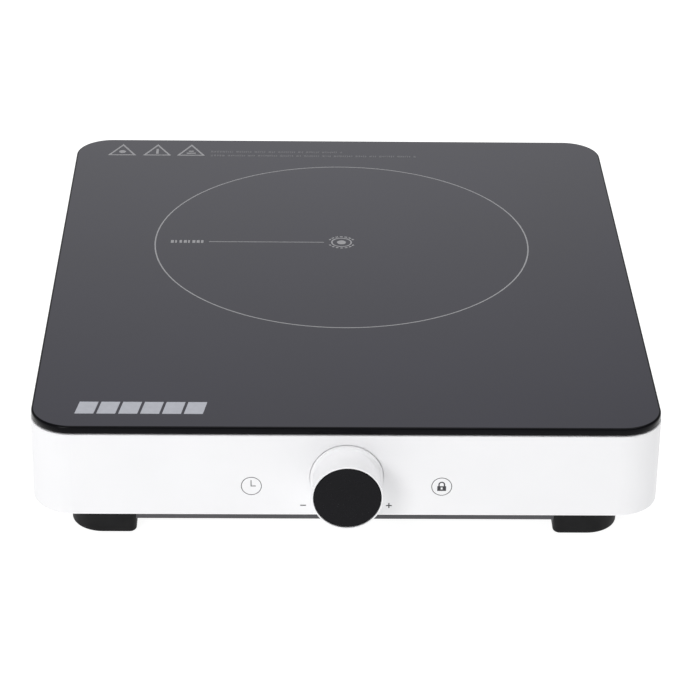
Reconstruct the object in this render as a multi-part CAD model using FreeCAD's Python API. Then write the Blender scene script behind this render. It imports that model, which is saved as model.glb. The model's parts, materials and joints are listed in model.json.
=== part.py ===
"""Table-top radiant hot plate: a ceramic glass top on a white shell, one rotary control with a display in
its middle, a dark base pan on four rubber feet, and everything that it holds inside.

Units are millimetres. +Z is up, +Y points to the back and +X to the right of someone standing in front.
The origin is on the table, under the middle of the object's bounding box.
"""

import FreeCAD
import Part
import math
import os

V = FreeCAD.Vector

# ---------------------------------------------------------------- driving dimensions
GLASS_W, GLASS_D, GLASS_T = 300.0, 340.0, 3.8
CORNER_R = 20.0
HEIGHT = 68.0
SHELL_PROUD = 0.4          # how far the shell's walls stand out past the edge of the glass
SHELL_BOTTOM = 20.2
WALL = 2.5
SEAL_T = 0.4
PAN_BOTTOM = 6.2
PAN_WALL = 2.2
PAN_INSET = 19.0           # from the edge of the glass to the wall of the base pan
FOOT_INSET = 16.7
FOOT_SIZE = 32.0
FOOT_CORNER_R = 15.8
FOOT_TOP = 12.0
KNOB_REACH = 19.4          # from the front of the shell to the front of the knob
GLAND_REACH = 7.4          # from the back of the shell to the end of the cord gland
KNOB_Z = 41.4
KNOB_TRAVEL = 0.6          # how far the knob can be pressed in
ZONE_OFFSET = 32.8         # from the middle of the glass back to the middle of the heated zone
DISH_R, DISH_BOTTOM, DISH_TOP = 100.0, 33.0, 61.5
KEY_X, KEY_Z = 45.2, 36.5  # the two touch keys, either side of the knob
SCREW_R, SCREW_HEAD_R, SCREW_HEAD_H = 1.5, 2.8, 1.8

# ---------------------------------------------------------------- derived places
BODY_Y = (KNOB_REACH - GLAND_REACH) / 2.0      # middle of the glass, front to back
GLASS_BOTTOM = HEIGHT - GLASS_T
DECK_TOP = GLASS_BOTTOM - SEAL_T
DECK_BOTTOM = DECK_TOP - WALL
SHELL_W, SHELL_D = GLASS_W + 2 * SHELL_PROUD, GLASS_D + 2 * SHELL_PROUD
SHELL_R = CORNER_R + SHELL_PROUD
FRONT_Y = BODY_Y - SHELL_D / 2.0
BACK_Y = BODY_Y + SHELL_D / 2.0
PAN_W, PAN_D = GLASS_W - 2 * PAN_INSET, GLASS_D - 2 * PAN_INSET
PAN_R = FOOT_CORNER_R - (PAN_INSET - FOOT_INSET)
PAN_FLOOR = PAN_BOTTOM + PAN_WALL
FLANGE_BOTTOM = SHELL_BOTTOM + 0.5
FLANGE_TOP = FLANGE_BOTTOM + PAN_WALL
FLANGE_GAP = 0.4
ZONE_Y = BODY_Y + ZONE_OFFSET
POST_TOP = 14.0            # top of the posts that carry the boards, the baffle and the springs
FOOT_HOLE = FOOT_INSET + FOOT_SIZE / 2.0       # foot centre, in from the edge of the glass

BASE_SCREWS = [(sx * 139.6, BODY_Y + dy) for sx in (-1, 1) for dy in (-120.0, 0.0, 120.0)]
BASE_SCREWS += [(sx * 75.0, BODY_Y + sy * 159.6) for sx in (-1, 1) for sy in (-1, 1)]
FOOT_CENTRES = {
    "front_left": (-1, -1), "front_right": (1, -1), "rear_left": (-1, 1), "rear_right": (1, 1),
}

# Depths behind the front of the shell, for everything on the knob's axis. Outwards is positive.
GUIDE_POSTS = [(x, dz) for x in (-29.0, 33.0) for dz in (-13.0, 13.0)]
GUIDE_FRONT, GUIDE_BACK, GUIDE_FOOT = -16.0, -18.0, -6.0
BOARD_FRONT, BOARD_T = -25.1, 1.6
BOARD_BACK = BOARD_FRONT - BOARD_T
BOARD_POSTS = [(x, dz) for x in (-56.0, 56.0) for dz in (-12.0, 12.0)]
GEAR_FRONT, GEAR_BACK = -5.5, -8.5
GEAR_TEETH, PINION_TEETH, MODULE = 32, 14, 1.0
ENCODER_X = MODULE * (GEAR_TEETH + PINION_TEETH) / 2.0
HUB_R, HUB_BORE, BUSH_BORE, TUBE_R = 12.4, 11.0, 9.6, 9.5
HUB_FRONT = 8.3
CUP_R, CUP_BORE, CUP_FLOOR, CUP_RIM = 14.9, 13.8, 10.0, KNOB_REACH - 2.2
LENS_R, LENS_BORE, LENS_FRONT = 15.8, 16.1, KNOB_REACH - 0.2
RING_BACK, RING_WEB, RING_STEP = -0.2, 3.7, KNOB_REACH - 3.0
RING_FOOT_R, SEAT_R = 17.4, 17.65                      # the foot of the ring sits in a shallow round seat
SEAT_DEPTH = KNOB_TRAVEL + 0.4
TAIL_SIDE, TAIL_END = 11.0, -20.0
LEAD_OFFSET = 3.5          # the display's lead, to one side of the knob's axis and above it

# Boards, fan and heater fittings on the floor of the base pan
BOARD_X, BOARD_Y, BOARD_Z = (-118.0, 8.0), (-126.0, -70.0), POST_TOP
POWER_POSTS = [(x, y) for x in (-104.0, 3.0) for y in (-122.0, -75.0)]
FAN_X, FAN_Y, FAN_SIZE, FAN_BOTTOM, FAN_T = 76.0, -98.0, 60.0, 11.7, 15.0
DUCT_R, FAN_TIP_R = 28.5, 26.8
FAN_POSTS = [(FAN_X + sx * 25.0, FAN_Y + sy * 25.0) for sx in (-1, 1) for sy in (-1, 1)]
BAFFLE_Y, BAFFLE_T, BAFFLE_LEGS = -62.0, 0.8, (-70.0, 34.0)
BAFFLE_SCREW_Y = BAFFLE_Y + 6.0
SPRING_ANGLES, SPRING_POST_R = (90.0, 210.0, 330.0), 100.0
TAB_X, HEATER_TAB_Y, MAINS_TAB_Y = (-114.0, -104.0), -80.0, -100.0
GLAND_X, GLAND_Z, GLAND_BORE = -100.0, 33.0, 3.8
REAR_X, REAR_Z = (-114.0, 66.0), (25.0, 58.0)    # the window in the back wall that the rear panel fills
CLAMP_Y, CLAMP_HALF = 142.0, 4.0
CLAMP_SCREWS = [(GLAND_X + dx, CLAMP_Y) for dx in (-11.0, 11.0)]
BLOCK_X, BLOCK_Y = -100.0, 118.0
BLOCK_POSTS = [(BLOCK_X + dx, BLOCK_Y) for dx in (-6.0, 6.0)]
BLOCK_WAYS = (-12.0, 0.0, 12.0)

made = {}


# ---------------------------------------------------------------- helpers
def block(x0, x1, y0, y1, z0, z1):
    """A box between two corners."""
    return Part.makeBox(x1 - x0, y1 - y0, z1 - z0, V(x0, y0, z0))


def upright(x, y, r, z0, z1):
    """A cylinder along Z."""
    return Part.makeCylinder(r, z1 - z0, V(x, y, z0))


def upright_edges(shape):
    return [e for e in shape.Edges if abs(e.tangentAt(e.FirstParameter).z) > 0.999]


def slab(width, depth, radius, z0, z1, cx=0.0, cy=BODY_Y):
    """A flat plate with rounded corners in plan."""
    body = block(cx - width / 2, cx + width / 2, cy - depth / 2, cy + depth / 2, z0, z1)
    return body.makeFillet(radius, upright_edges(body))


def edges_at(shape, z, tolerance=0.01):
    """The edges that lie at one height."""
    return [
        e for e in shape.Edges
        if abs(e.BoundBox.ZMin - z) < tolerance and abs(e.BoundBox.ZMax - z) < tolerance
    ]


def fuse(first, *others):
    return first.multiFuse(list(others)).removeSplitter() if others else first


def cut(body, *tools):
    return body.cut(Part.makeCompound(list(tools)))


def sector(radius, z0, z1, start, sweep, cx=0.0, cy=0.0):
    """A wedge of a cylinder along Z, from an angle and over a sweep, both in degrees."""
    wedge = Part.makeCylinder(radius, z1 - z0, V(0, 0, z0), V(0, 0, 1), sweep)
    wedge.rotate(V(0, 0, 0), V(0, 0, 1), start)
    return wedge.translated(V(cx, cy, 0))


def turned(shape, angle, cx=0.0, cy=0.0):
    """A copy turned about an upright line."""
    return shape.rotated(V(cx, cy, 0), V(0, 0, 1), angle)


def to_front(shape, x=0.0, z=KNOB_Z):
    """Takes a shape made upright, its Z the distance out from the front of the shell, to its place there."""
    return shape.rotated(V(0, 0, 0), V(1, 0, 0), 90).translated(V(x, FRONT_Y, z))


def tube(outer, inner, z0, z1, cx=0.0, cy=0.0):
    return upright(cx, cy, outer, z0, z1).cut(upright(cx, cy, inner, z0 - 1, z1 + 1))


def screw(length):
    """A pan-head screw at the origin: its head stands on z 0 and its shank points down."""
    head = upright(0, 0, SCREW_HEAD_R, 0, SCREW_HEAD_H)
    head = head.makeFillet(0.8, edges_at(head, SCREW_HEAD_H))
    slots = [block(-1.7, 1.7, -0.35, 0.35, 0.7, 3), block(-0.35, 0.35, -1.7, 1.7, 0.7, 3)]
    return fuse(cut(head, *slots), upright(0, 0, SCREW_R, -length, 0))


def screw_down(x, y, z, length):
    return screw(length).translated(V(x, y, z))


def screw_up(x, y, z, length):
    return screw(length).rotated(V(0, 0, 0), V(1, 0, 0), 180).translated(V(x, y, z))


def screw_forward(x, z, depth, length):
    """A screw driven from inside towards the front, its head on the plane at that depth."""
    return to_front(screw(length).rotated(V(0, 0, 0), V(1, 0, 0), 180).translated(V(0, 0, depth)), x, z)


def route_tube(points, radius):
    """A round lead along straight runs joined by tangent arcs, as large as each pair of runs allows."""
    pts = [V(*p) for p in points]
    edges, last = [], pts[0]
    for before, corner, after in zip(pts, pts[1:], pts[2:]):
        back, ahead = before - corner, after - corner
        reach = 0.45 * min(back.Length, ahead.Length)
        back.normalize()
        ahead.normalize()
        into, out = corner + back * reach, corner + ahead * reach
        half = back.getAngle(ahead) / 2.0
        centre_way = (back + ahead).normalize()
        arc_r = reach * math.tan(half)
        centre = corner + centre_way * (reach / math.cos(half))
        middle = centre - centre_way * arc_r
        edges += [Part.LineSegment(last, into).toShape(), Part.Arc(into, middle, out).toShape()]
        last = out
    edges.append(Part.LineSegment(last, pts[-1]).toShape())
    path = Part.Wire(edges)
    section = Part.Wire(Part.makeCircle(radius, pts[0], pts[1] - pts[0]))
    return path.makePipeShell([section], True, True)


def coil(mean_r, wire_r, z0, z1, turns):
    """An open coil spring along Z whose wire, eight-sided in section, stays between the two heights."""
    height = z1 - z0 - 2 * wire_r
    helix = Part.makeHelix(height / turns, height, mean_r)
    angles = [math.radians(45 * i) for i in range(8)]
    corners = [V(mean_r + wire_r * math.cos(a), 0, wire_r * math.sin(a)) for a in angles]
    section = Part.makePolygon(corners + corners[:1])
    return Part.Wire(helix.Edges).makePipeShell([section], True, True).translated(V(0, 0, z0 + wire_r))


def bent_strip(outline, thickness, width):
    """A strip of sheet bent along an outline of (run, height) points, its width centred on y 0."""
    upper = [V(u, 0, w) for u, w in outline]
    lower = [V(u, 0, w - thickness) for u, w in reversed(outline)]
    face = Part.Face(Part.makePolygon(upper + lower + upper[:1]))
    return face.extrude(V(0, width, 0)).translated(V(0, -width / 2, 0))


def involute_gear(teeth, bore, z0, z1, phase):
    """A spur gear with stub teeth, thinned a little for backlash. One tooth is centred on the phase angle."""
    pitch_r = MODULE * teeth / 2.0
    base_r = pitch_r * math.cos(math.radians(20))
    tip_r, root_r = pitch_r + 0.8 * MODULE, pitch_r - 1.1 * MODULE
    backlash = 0.12

    def involute(r):
        a = math.acos(min(1.0, base_r / r))
        return math.tan(a) - a

    half = math.pi / (2 * teeth) - backlash / (2 * pitch_r) + involute(pitch_r)
    low = max(base_r, root_r)
    radii = [low + (tip_r - low) * i / 4.0 for i in range(5)]

    def at(r, angle):
        return V(r * math.cos(angle), r * math.sin(angle), z0)

    edges = []
    for i in range(teeth):
        middle = math.radians(phase) + 2 * math.pi * i / teeth
        following = middle + 2 * math.pi / teeth
        rise = [at(r, middle - half + involute(r)) for r in radii]
        fall = [at(r, middle + half - involute(r)) for r in reversed(radii)]
        for flank in (rise, fall):
            curve = Part.BSplineCurve()
            curve.interpolate(flank)
            edges.append(curve.toShape())
        edges.append(Part.Arc(rise[-1], at(tip_r, middle), fall[0]).toShape())
        foot, next_foot = at(root_r, middle + half), at(root_r, following - half)
        if base_r > root_r:
            edges += [Part.LineSegment(fall[-1], foot).toShape(),
                      Part.LineSegment(at(root_r, middle - half), rise[0]).toShape()]
        edges.append(Part.Arc(foot, at(root_r, (middle + following) / 2), next_foot).toShape())
    wire = Part.Wire(Part.__sortEdges__(edges))
    return Part.Face(wire).extrude(V(0, 0, z1 - z0)).cut(upright(0, 0, bore, z0 - 1, z1 + 1))


def keep(node, *shapes):
    """Notes the solids of one node. They are written at the end."""
    solids = [s for shape in shapes for s in shape.Solids]
    made[node] = solids


# ---------------------------------------------------------------- glass and housing
def glass_top():
    glass = slab(GLASS_W, GLASS_D, CORNER_R, GLASS_BOTTOM, HEIGHT)
    glass = glass.makeFillet(0.9, edges_at(glass, HEIGHT))
    keep("glass_top", glass.makeChamfer(0.5, edges_at(glass, GLASS_BOTTOM)))


def glass_seal():
    outside = slab(GLASS_W - 8, GLASS_D - 8, CORNER_R - 4, DECK_TOP, GLASS_BOTTOM)
    keep("glass_seal", outside.cut(slab(GLASS_W - 26, GLASS_D - 26, CORNER_R - 12, DECK_TOP, GLASS_BOTTOM)))


def rear_slots():
    """Upright air slots through the back wall, behind the heated zone."""
    width, height, pitch, count, low = 3.0, 20.0, 6.5, 19, 30.0
    slots = []
    for i in range(count):
        x = (i - (count - 1) / 2.0) * pitch
        slot = block(x - width / 2, x + width / 2, BACK_Y - 6, BACK_Y + 2, low, low + height)
        along_y = [e for e in slot.Edges if abs(e.tangentAt(e.FirstParameter).y) > 0.999]
        slots.append(slot.makeFillet(width / 2 - 0.05, along_y))
    return slots


def gland_round(radius, y0, y1):
    """A cylinder on the axis of the cord gland."""
    return Part.makeCylinder(radius, y1 - y0, V(GLAND_X, y0, GLAND_Z), V(0, 1, 0))


def housing():
    shell = slab(SHELL_W, SHELL_D, SHELL_R, SHELL_BOTTOM, DECK_TOP)
    shell = shell.makeFillet(1.5, edges_at(shell, SHELL_BOTTOM))
    shell = shell.makeFillet(0.6, edges_at(shell, DECK_TOP))
    inside = slab(SHELL_W - 2 * WALL, SHELL_D - 2 * WALL, SHELL_R - WALL, SHELL_BOTTOM - 1, DECK_BOTTOM)
    opening = slab(GLASS_W - 28, GLASS_D - 28, 10, DECK_BOTTOM - 1, DECK_TOP + 1)
    shell = shell.cut(inside).cut(opening)
    posts = [upright(x, y, 3.5, FLANGE_TOP, DECK_BOTTOM) for x, y in BASE_SCREWS]
    posts += [to_front(upright(0, 0, 3.0, GUIDE_FOOT, -WALL), x, KNOB_Z + dz) for x, dz in GUIDE_POSTS]
    posts += [to_front(upright(0, 0, 3.5, BOARD_FRONT, -WALL), x, KNOB_Z + dz) for x, dz in BOARD_POSTS]
    holes = [upright(x, y, SCREW_R, FLANGE_TOP - 1, FLANGE_TOP + 12) for x, y in BASE_SCREWS]
    holes += [to_front(upright(0, 0, SCREW_R, GUIDE_FOOT - 1, -0.8), x, KNOB_Z + dz) for x, dz in GUIDE_POSTS]
    holes += [
        to_front(upright(0, 0, SCREW_R, BOARD_FRONT - 1, BOARD_FRONT + 8), x, KNOB_Z + dz)
        for x, dz in BOARD_POSTS
    ]
    holes.append(to_front(upright(0, 0, HUB_R + 0.6, -10, 5)))
    holes.append(to_front(upright(0, 0, SEAT_R, -SEAT_DEPTH, 1)))
    window = block(*REAR_X, BACK_Y - WALL - 1, BACK_Y + 1, *REAR_Z)
    keep("housing", cut(fuse(shell, *posts), *holes, window))


def rear_panel():
    """The flat plate in the back wall that carries the air slots and the gland. Its lip stops it inside."""
    gap, lip, inner = 0.2, 1.7, BACK_Y - WALL - 1.6
    plate = block(REAR_X[0] + gap, REAR_X[1] - gap, inner, BACK_Y, REAR_Z[0] + gap, REAR_Z[1] - gap)
    rim = block(REAR_X[0] - lip, REAR_X[1] + lip, inner, BACK_Y - WALL - 0.1,
                REAR_Z[0] - lip, REAR_Z[1] + lip)
    keep("rear_panel", cut(fuse(plate, rim), gland_round(7.5, BACK_Y - 8, BACK_Y + 2), *rear_slots()))


def floor_slots():
    """Air slots in the floor of the pan: the fan's round intake and an outlet at the back."""
    width, slots = 3.0, []
    reach = FAN_SIZE / 2 - 2.0
    for i in range(9):
        dy = (i - 4) * 5.8
        half = math.sqrt(reach ** 2 - dy ** 2)
        slots.append((FAN_X - half, FAN_X + half, FAN_Y + dy))
    for i in range(6):
        y = BODY_Y + 96.0 + 7.0 * i
        slots += [(-62.0, -8.0, y), (8.0, 62.0, y)]
    bars = []
    for x0, x1, y in slots:
        bar = block(x0, x1, y - width / 2, y + width / 2, PAN_BOTTOM - 1, PAN_FLOOR + 1)
        bars.append(bar.makeFillet(width / 2 - 0.05, upright_edges(bar)))
    return bars


def base_pan():
    flange = slab(SHELL_W - 2 * (WALL + FLANGE_GAP), SHELL_D - 2 * (WALL + FLANGE_GAP),
                  SHELL_R - WALL - FLANGE_GAP, FLANGE_BOTTOM, FLANGE_TOP)
    tray = slab(PAN_W, PAN_D, PAN_R, PAN_BOTTOM, FLANGE_TOP)
    tray = tray.makeFillet(1.2, edges_at(tray, PAN_BOTTOM))
    hollow = slab(PAN_W - 2 * PAN_WALL, PAN_D - 2 * PAN_WALL, PAN_R - PAN_WALL, PAN_FLOOR, FLANGE_TOP + 1)
    pan = fuse(flange, tray).cut(hollow)
    low = POWER_POSTS + BLOCK_POSTS
    low += [(x, BAFFLE_SCREW_Y) for x in BAFFLE_LEGS]
    low += [spring_place(a) for a in SPRING_ANGLES]
    feet = [foot_centre(*sign) for sign in FOOT_CENTRES.values()]
    posts = [upright(x, y, 4.0, PAN_FLOOR - 1, POST_TOP) for x, y in low]
    posts += [upright(x, y, 4.0, PAN_FLOOR - 1, POST_TOP - 0.6) for x, y in feet]
    posts += [upright(x, y, 3.5, PAN_FLOOR - 1, FAN_BOTTOM) for x, y in FAN_POSTS]
    cradle = block(GLAND_X - 15, GLAND_X + 15, CLAMP_Y - CLAMP_HALF, CLAMP_Y + CLAMP_HALF,
                   PAN_FLOOR - 1, GLAND_Z)
    posts.append(cradle)
    holes = [upright(x, y, SCREW_R, PAN_FLOOR, POST_TOP + 1) for x, y in low]
    holes += [upright(x, y, SCREW_R, PAN_BOTTOM - 1, POST_TOP - 1.4) for x, y in feet]
    holes += [upright(x, y, SCREW_R, PAN_FLOOR - 1.5, FAN_BOTTOM + 1) for x, y in FAN_POSTS]
    holes += [upright(x, y, SCREW_R + 0.1, FLANGE_BOTTOM - 1, FLANGE_TOP + 1) for x, y in BASE_SCREWS]
    holes += [upright(x, y, SCREW_R, GLAND_Z - 12, GLAND_Z + 1) for x, y in CLAMP_SCREWS]
    holes.append(Part.makeCylinder(GLAND_BORE + 0.3, 40, V(GLAND_X, CLAMP_Y - 20, GLAND_Z), V(0, 1, 0)))
    keep("base_pan", cut(fuse(pan, *posts), *holes, *floor_slots()))


# ---------------------------------------------------------------- feet, gland and outer screws
def foot_centre(sx, sy):
    return sx * (GLASS_W / 2 - FOOT_HOLE), BODY_Y + sy * (GLASS_D / 2 - FOOT_HOLE)


def foot(sx, sy):
    """A rubber foot whose lip wraps the corner of the pan. Its outer corner is the large one."""
    cx, cy = foot_centre(sx, sy)
    half = FOOT_SIZE / 2
    body = block(cx - half, cx + half, cy - half, cy + half, 0, FOOT_TOP)
    outer = [e for e in upright_edges(body)
             if sx * (e.CenterOfMass.x - cx) > 0 and sy * (e.CenterOfMass.y - cy) > 0]
    body = body.makeFillet(FOOT_CORNER_R, outer)
    others = [e for e in upright_edges(body)
              if abs(abs(e.CenterOfMass.x - cx) - half) < 0.01
              and abs(abs(e.CenterOfMass.y - cy) - half) < 0.01]
    body = body.makeFillet(3.6, others)
    body = body.makeFillet(1.4, edges_at(body, 0))
    body = body.makeFillet(0.6, edges_at(body, FOOT_TOP))
    clear = slab(PAN_W + 0.1, PAN_D + 0.1, PAN_R + 0.05, PAN_BOTTOM, FOOT_TOP + 2)
    return cut(body, clear, upright(cx, cy, 4.2, -1, 3.2), upright(cx, cy, SCREW_R + 0.1, 0, 20))


def feet():
    for place, sign in FOOT_CENTRES.items():
        keep("foot_" + place, foot(*sign))
    keep("foot_screws", *[screw_up(*foot_centre(*s), 3.2, 9.0) for s in FOOT_CENTRES.values()])


def base_screws():
    keep("base_screws", *[screw_up(x, y, FLANGE_BOTTOM, 12.0) for x, y in BASE_SCREWS])


def cord_gland():
    """The bush that a mains cord passes through: a barrel, a flange and a tapered nose."""
    inner_end = BACK_Y - WALL - 6.0
    barrel = gland_round(7.35, inner_end, BACK_Y + 0.5)
    flange = gland_round(9.5, BACK_Y, BACK_Y + 2.0)
    flange = flange.makeFillet(0.8, [e for e in flange.Edges if abs(e.CenterOfMass.y - BACK_Y - 2) < 0.01
                                     and e.BoundBox.YLength < 0.01])
    nose = Part.makeCone(6.6, 5.4, GLAND_REACH - 2.0, V(GLAND_X, BACK_Y + 2.0, GLAND_Z), V(0, 1, 0))
    bore = gland_round(GLAND_BORE, BACK_Y - 30, BACK_Y + 30)
    keep("cord_gland", fuse(barrel, flange, nose).cut(bore))


def cord_clamp():
    bar = block(GLAND_X - 15, GLAND_X + 15, CLAMP_Y - CLAMP_HALF, CLAMP_Y + CLAMP_HALF,
                GLAND_Z + 0.2, GLAND_Z + 8)
    bar = bar.makeFillet(1.0, edges_at(bar, GLAND_Z + 8))
    groove = Part.makeCylinder(GLAND_BORE + 0.3, 40, V(GLAND_X, CLAMP_Y - 20, GLAND_Z), V(0, 1, 0))
    holes = [upright(x, y, SCREW_R + 0.1, GLAND_Z - 1, GLAND_Z + 12) for x, y in CLAMP_SCREWS]
    keep("cord_clamp", cut(bar, groove, *holes))
    return [screw_down(x, y, GLAND_Z + 8, 18.0) for x, y in CLAMP_SCREWS]


# ---------------------------------------------------------------- knob, display and encoder
def knob_ring():
    """The white ring that the fingers turn: a flared foot, a waist, and a body that widens to the front."""
    foot_r, waist_r, front_r = RING_FOOT_R, 15.95, 16.85
    flare = Part.Arc(V(foot_r, 0, 1.5), V(16.35, 0, 2.1), V(waist_r, 0, 3.4)).toShape()
    corners = [V(waist_r, 0, 3.4), V(front_r, 0, KNOB_REACH), V(0, 0, KNOB_REACH), V(0, 0, RING_BACK),
               V(foot_r, 0, RING_BACK), V(foot_r, 0, 1.5)]
    outline = Part.Wire([flare] + Part.makePolygon(corners).Edges)
    body = Part.Face(outline).revolve(V(0, 0, 0), V(0, 0, 1), 360)
    body = body.makeFillet(0.35, edges_at(body, KNOB_REACH))
    body = body.makeFillet(0.3, edges_at(body, RING_BACK))
    body = body.cut(upright(0, 0, CUP_R + 0.3, RING_WEB, KNOB_REACH + 1))
    body = body.cut(upright(0, 0, LENS_BORE, RING_STEP, KNOB_REACH + 1))
    hub = upright(0, 0, HUB_R, GEAR_BACK, HUB_FRONT)
    bore = upright(0, 0, HUB_BORE, GEAR_BACK - 1, HUB_FRONT + 1)
    keep("knob_ring", to_front(fuse(body, hub).cut(bore)))


def knob_bush():
    keep("knob_bush", to_front(tube(HUB_BORE, BUSH_BORE, GEAR_BACK, HUB_FRONT)))


def gears():
    gear = involute_gear(GEAR_TEETH, HUB_R, GEAR_BACK, GEAR_FRONT, 0.0)
    keep("drive_gear", to_front(gear))
    pinion = involute_gear(PINION_TEETH, 3.0, -11.0, -4.9, 180.0 / PINION_TEETH)
    keep("encoder_pinion", to_front(pinion, ENCODER_X))


def encoder():
    shaft = upright(0, 0, 3.0, -24.0, -4.9)
    keep("encoder_shaft", to_front(shaft.makeChamfer(0.4, edges_at(shaft, -4.9)), ENCODER_X))
    case = block(-6, 6, -6, 6, BOARD_FRONT, -18.6)
    case = case.makeFillet(0.8, upright_edges(case))
    neck = upright(0, 0, 3.5 + 0.4, -18.6, -13.0)
    keep("encoder_body", to_front(fuse(case, neck).cut(upright(0, 0, 3.1, -24.2, -10)), ENCODER_X))


def display_holder():
    """The sliding carrier in the middle of the knob: a cup for the display, a tube and a square tail."""
    cup = upright(0, 0, CUP_R, CUP_FLOOR - 1.5, CUP_RIM).cut(upright(0, 0, CUP_BORE, CUP_FLOOR, CUP_RIM + 1))
    stem = upright(0, 0, TUBE_R, -10.0, CUP_FLOOR)
    half = TAIL_SIDE / 2
    tail = block(-half, half, -half, half, TAIL_END, -10.0)
    bore = upright(0, 0, 7.0, -10.5, CUP_FLOOR + 1)
    wire_way = block(-4.6, 4.6, -4.6, 4.6, TAIL_END + 1.6, -10)
    wire_hole = upright(LEAD_OFFSET, LEAD_OFFSET, 1.0, TAIL_END - 1, TAIL_END + 2)
    groove = tube(TUBE_R + 2, TUBE_R - 0.8, -9.65, -8.75)
    keep("display_holder", to_front(cut(fuse(cup, stem, tail), bore, wire_way, wire_hole, groove)))
    clip = tube(12.0, TUBE_R - 0.75, -9.6, -8.8).cut(block(4, 20, -2.4, 2.4, -12, -5))
    keep("retaining_clip", to_front(clip))


def display():
    lens = upright(0, 0, LENS_R, CUP_RIM, LENS_FRONT)
    keep("knob_lens", to_front(lens.makeFillet(0.3, edges_at(lens, LENS_FRONT))))
    board = upright(0, 0, 13.4, 11.5, 12.7)
    posts = [upright(11.5 * math.cos(a), 11.5 * math.sin(a), 1.2, CUP_FLOOR, 11.5)
             for a in (math.radians(30 + 120 * i) for i in range(3))]
    keep("display_board", to_front(fuse(board, *posts)))
    case_top = CUP_RIM - 0.9
    case = block(-11, 11, -6, 6, 12.7, case_top)
    segments = []
    for x in (-7.0, 0.0, 7.0):
        segments += [block(x - 1.8, x + 1.8, y - 0.35, y + 0.35, case_top - 0.4, CUP_RIM)
                     for y in (-4.2, 0.0, 4.2)]
        segments += [block(x + sx * 2.2 - 0.35, x + sx * 2.2 + 0.35, y - 1.6, y + 1.6, case_top - 0.4, CUP_RIM)
                     for sx in (-1, 1) for y in (-2.1, 2.1)]
    keep("led_display", to_front(cut(case, *segments)))
    lead = upright(LEAD_OFFSET, LEAD_OFFSET, 0.8, BOARD_FRONT + 0.1, 11.4)
    keep("display_lead", to_front(lead))


def knob_guide():
    """The bracket inside the shell that keeps the display holder from turning and carries its spring."""
    plate = block(-33.0, 37.0, -17.0, 17.0, GUIDE_BACK, GUIDE_FRONT)
    plate = plate.makeFillet(3.0, upright_edges(plate))
    legs = [upright(x, dz, 3.4, GUIDE_BACK, GUIDE_FOOT) for x, dz in GUIDE_POSTS]
    half = TAIL_SIDE / 2 + 0.25
    holes = [upright(x, dz, SCREW_R + 0.1, GUIDE_BACK - 1, GUIDE_FOOT + 1) for x, dz in GUIDE_POSTS]
    holes.append(block(-half, half, -half, half, GUIDE_BACK - 1, GUIDE_FRONT + 1))
    holes.append(upright(ENCODER_X, 0, 4.3, GUIDE_BACK - 1, GUIDE_FRONT + 1))
    keep("knob_guide", to_front(cut(fuse(plate, *legs), *holes)))
    keep("return_spring", to_front(coil(8.6, 0.4, GUIDE_FRONT + 0.1, -10.2, 3.0)))


def press_switch():
    body = block(-2.4, 2.4, -2.4, 2.4, BOARD_FRONT, BOARD_FRONT + 3.5)
    body = body.makeFillet(0.4, upright_edges(body))
    keep("switch_body", to_front(body.cut(upright(0, 0, 1.8, BOARD_FRONT + 1.2, BOARD_FRONT + 5))))
    plunger = upright(0, 0, 1.55, BOARD_FRONT + 2.1, TAIL_END - 0.02)
    keep("switch_plunger", to_front(plunger))


def control_board():
    board = block(-62, 62, -15.5, 15.5, BOARD_BACK, BOARD_FRONT)
    board = board.makeFillet(1.5, upright_edges(board))
    holes = [upright(x, dz, SCREW_R + 0.1, BOARD_BACK - 1, BOARD_FRONT + 1) for x, dz in BOARD_POSTS]
    keep("control_board", to_front(cut(board, *holes)))
    spring = coil(4.2, 0.4, BOARD_FRONT + 0.1, -WALL - 0.7, 7.0)
    pad = upright(0, 0, 5.0, -WALL - 0.6, -WALL - 0.1)
    keep("touch_springs", *[to_front(piece, x, KEY_Z) for x in (-KEY_X, KEY_X) for piece in (spring, pad)])
    sounder = upright(0, 0, 6.0, BOARD_BACK - 6.5, BOARD_BACK)
    sounder = sounder.makeFillet(0.6, edges_at(sounder, BOARD_BACK - 6.5))
    keep("buzzer", to_front(sounder.cut(upright(0, 0, 1.2, BOARD_BACK - 8, BOARD_BACK - 5)), -36.0))
    socket = block(-21, -3, -14.5, -8.5, BOARD_BACK - 6.0, BOARD_BACK)
    return to_front(socket.cut(block(-20, -4, -13.5, -9.5, BOARD_BACK - 7, BOARD_BACK - 1.5)))


# ---------------------------------------------------------------- radiant heater
def heater_dish():
    dish = upright(0, ZONE_Y, DISH_R, DISH_BOTTOM, DISH_TOP)
    dish = dish.makeFillet(2.0, edges_at(dish, DISH_BOTTOM))
    inside = upright(0, ZONE_Y, DISH_R - 0.8, DISH_BOTTOM + 0.8, DISH_TOP + 1)
    inside = inside.makeFillet(1.2, edges_at(inside, DISH_BOTTOM + 0.8))
    rod_ways = Part.makeCylinder(3.2, 2 * DISH_R + 40, V(-DISH_R - 20, ZONE_Y, 56), V(1, 0, 0))
    terminals = block(-DISH_R - 5, -DISH_R + 5, ZONE_Y - 9, ZONE_Y - 5, 45, 50)
    keep("heater_dish", cut(dish, inside, rod_ways, terminals))


def insulation():
    radius = DISH_R - 1.0
    base = upright(0, ZONE_Y, radius, DISH_BOTTOM + 0.9, 44.0)
    keep("insulation_base", base.makeFillet(1.6, edges_at(base, DISH_BOTTOM + 0.9)))
    ring = tube(radius, 86.0, 44.0, GLASS_BOTTOM - 0.1, 0, ZONE_Y)
    rod_way = Part.makeCylinder(3.2, 2 * DISH_R, V(-DISH_R, ZONE_Y, 56), V(1, 0, 0))
    lead_way = block(-DISH_R, -80, ZONE_Y - 9, ZONE_Y - 5, 43, 50)
    keep("insulation_ring", cut(ring, rod_way, lead_way))


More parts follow.
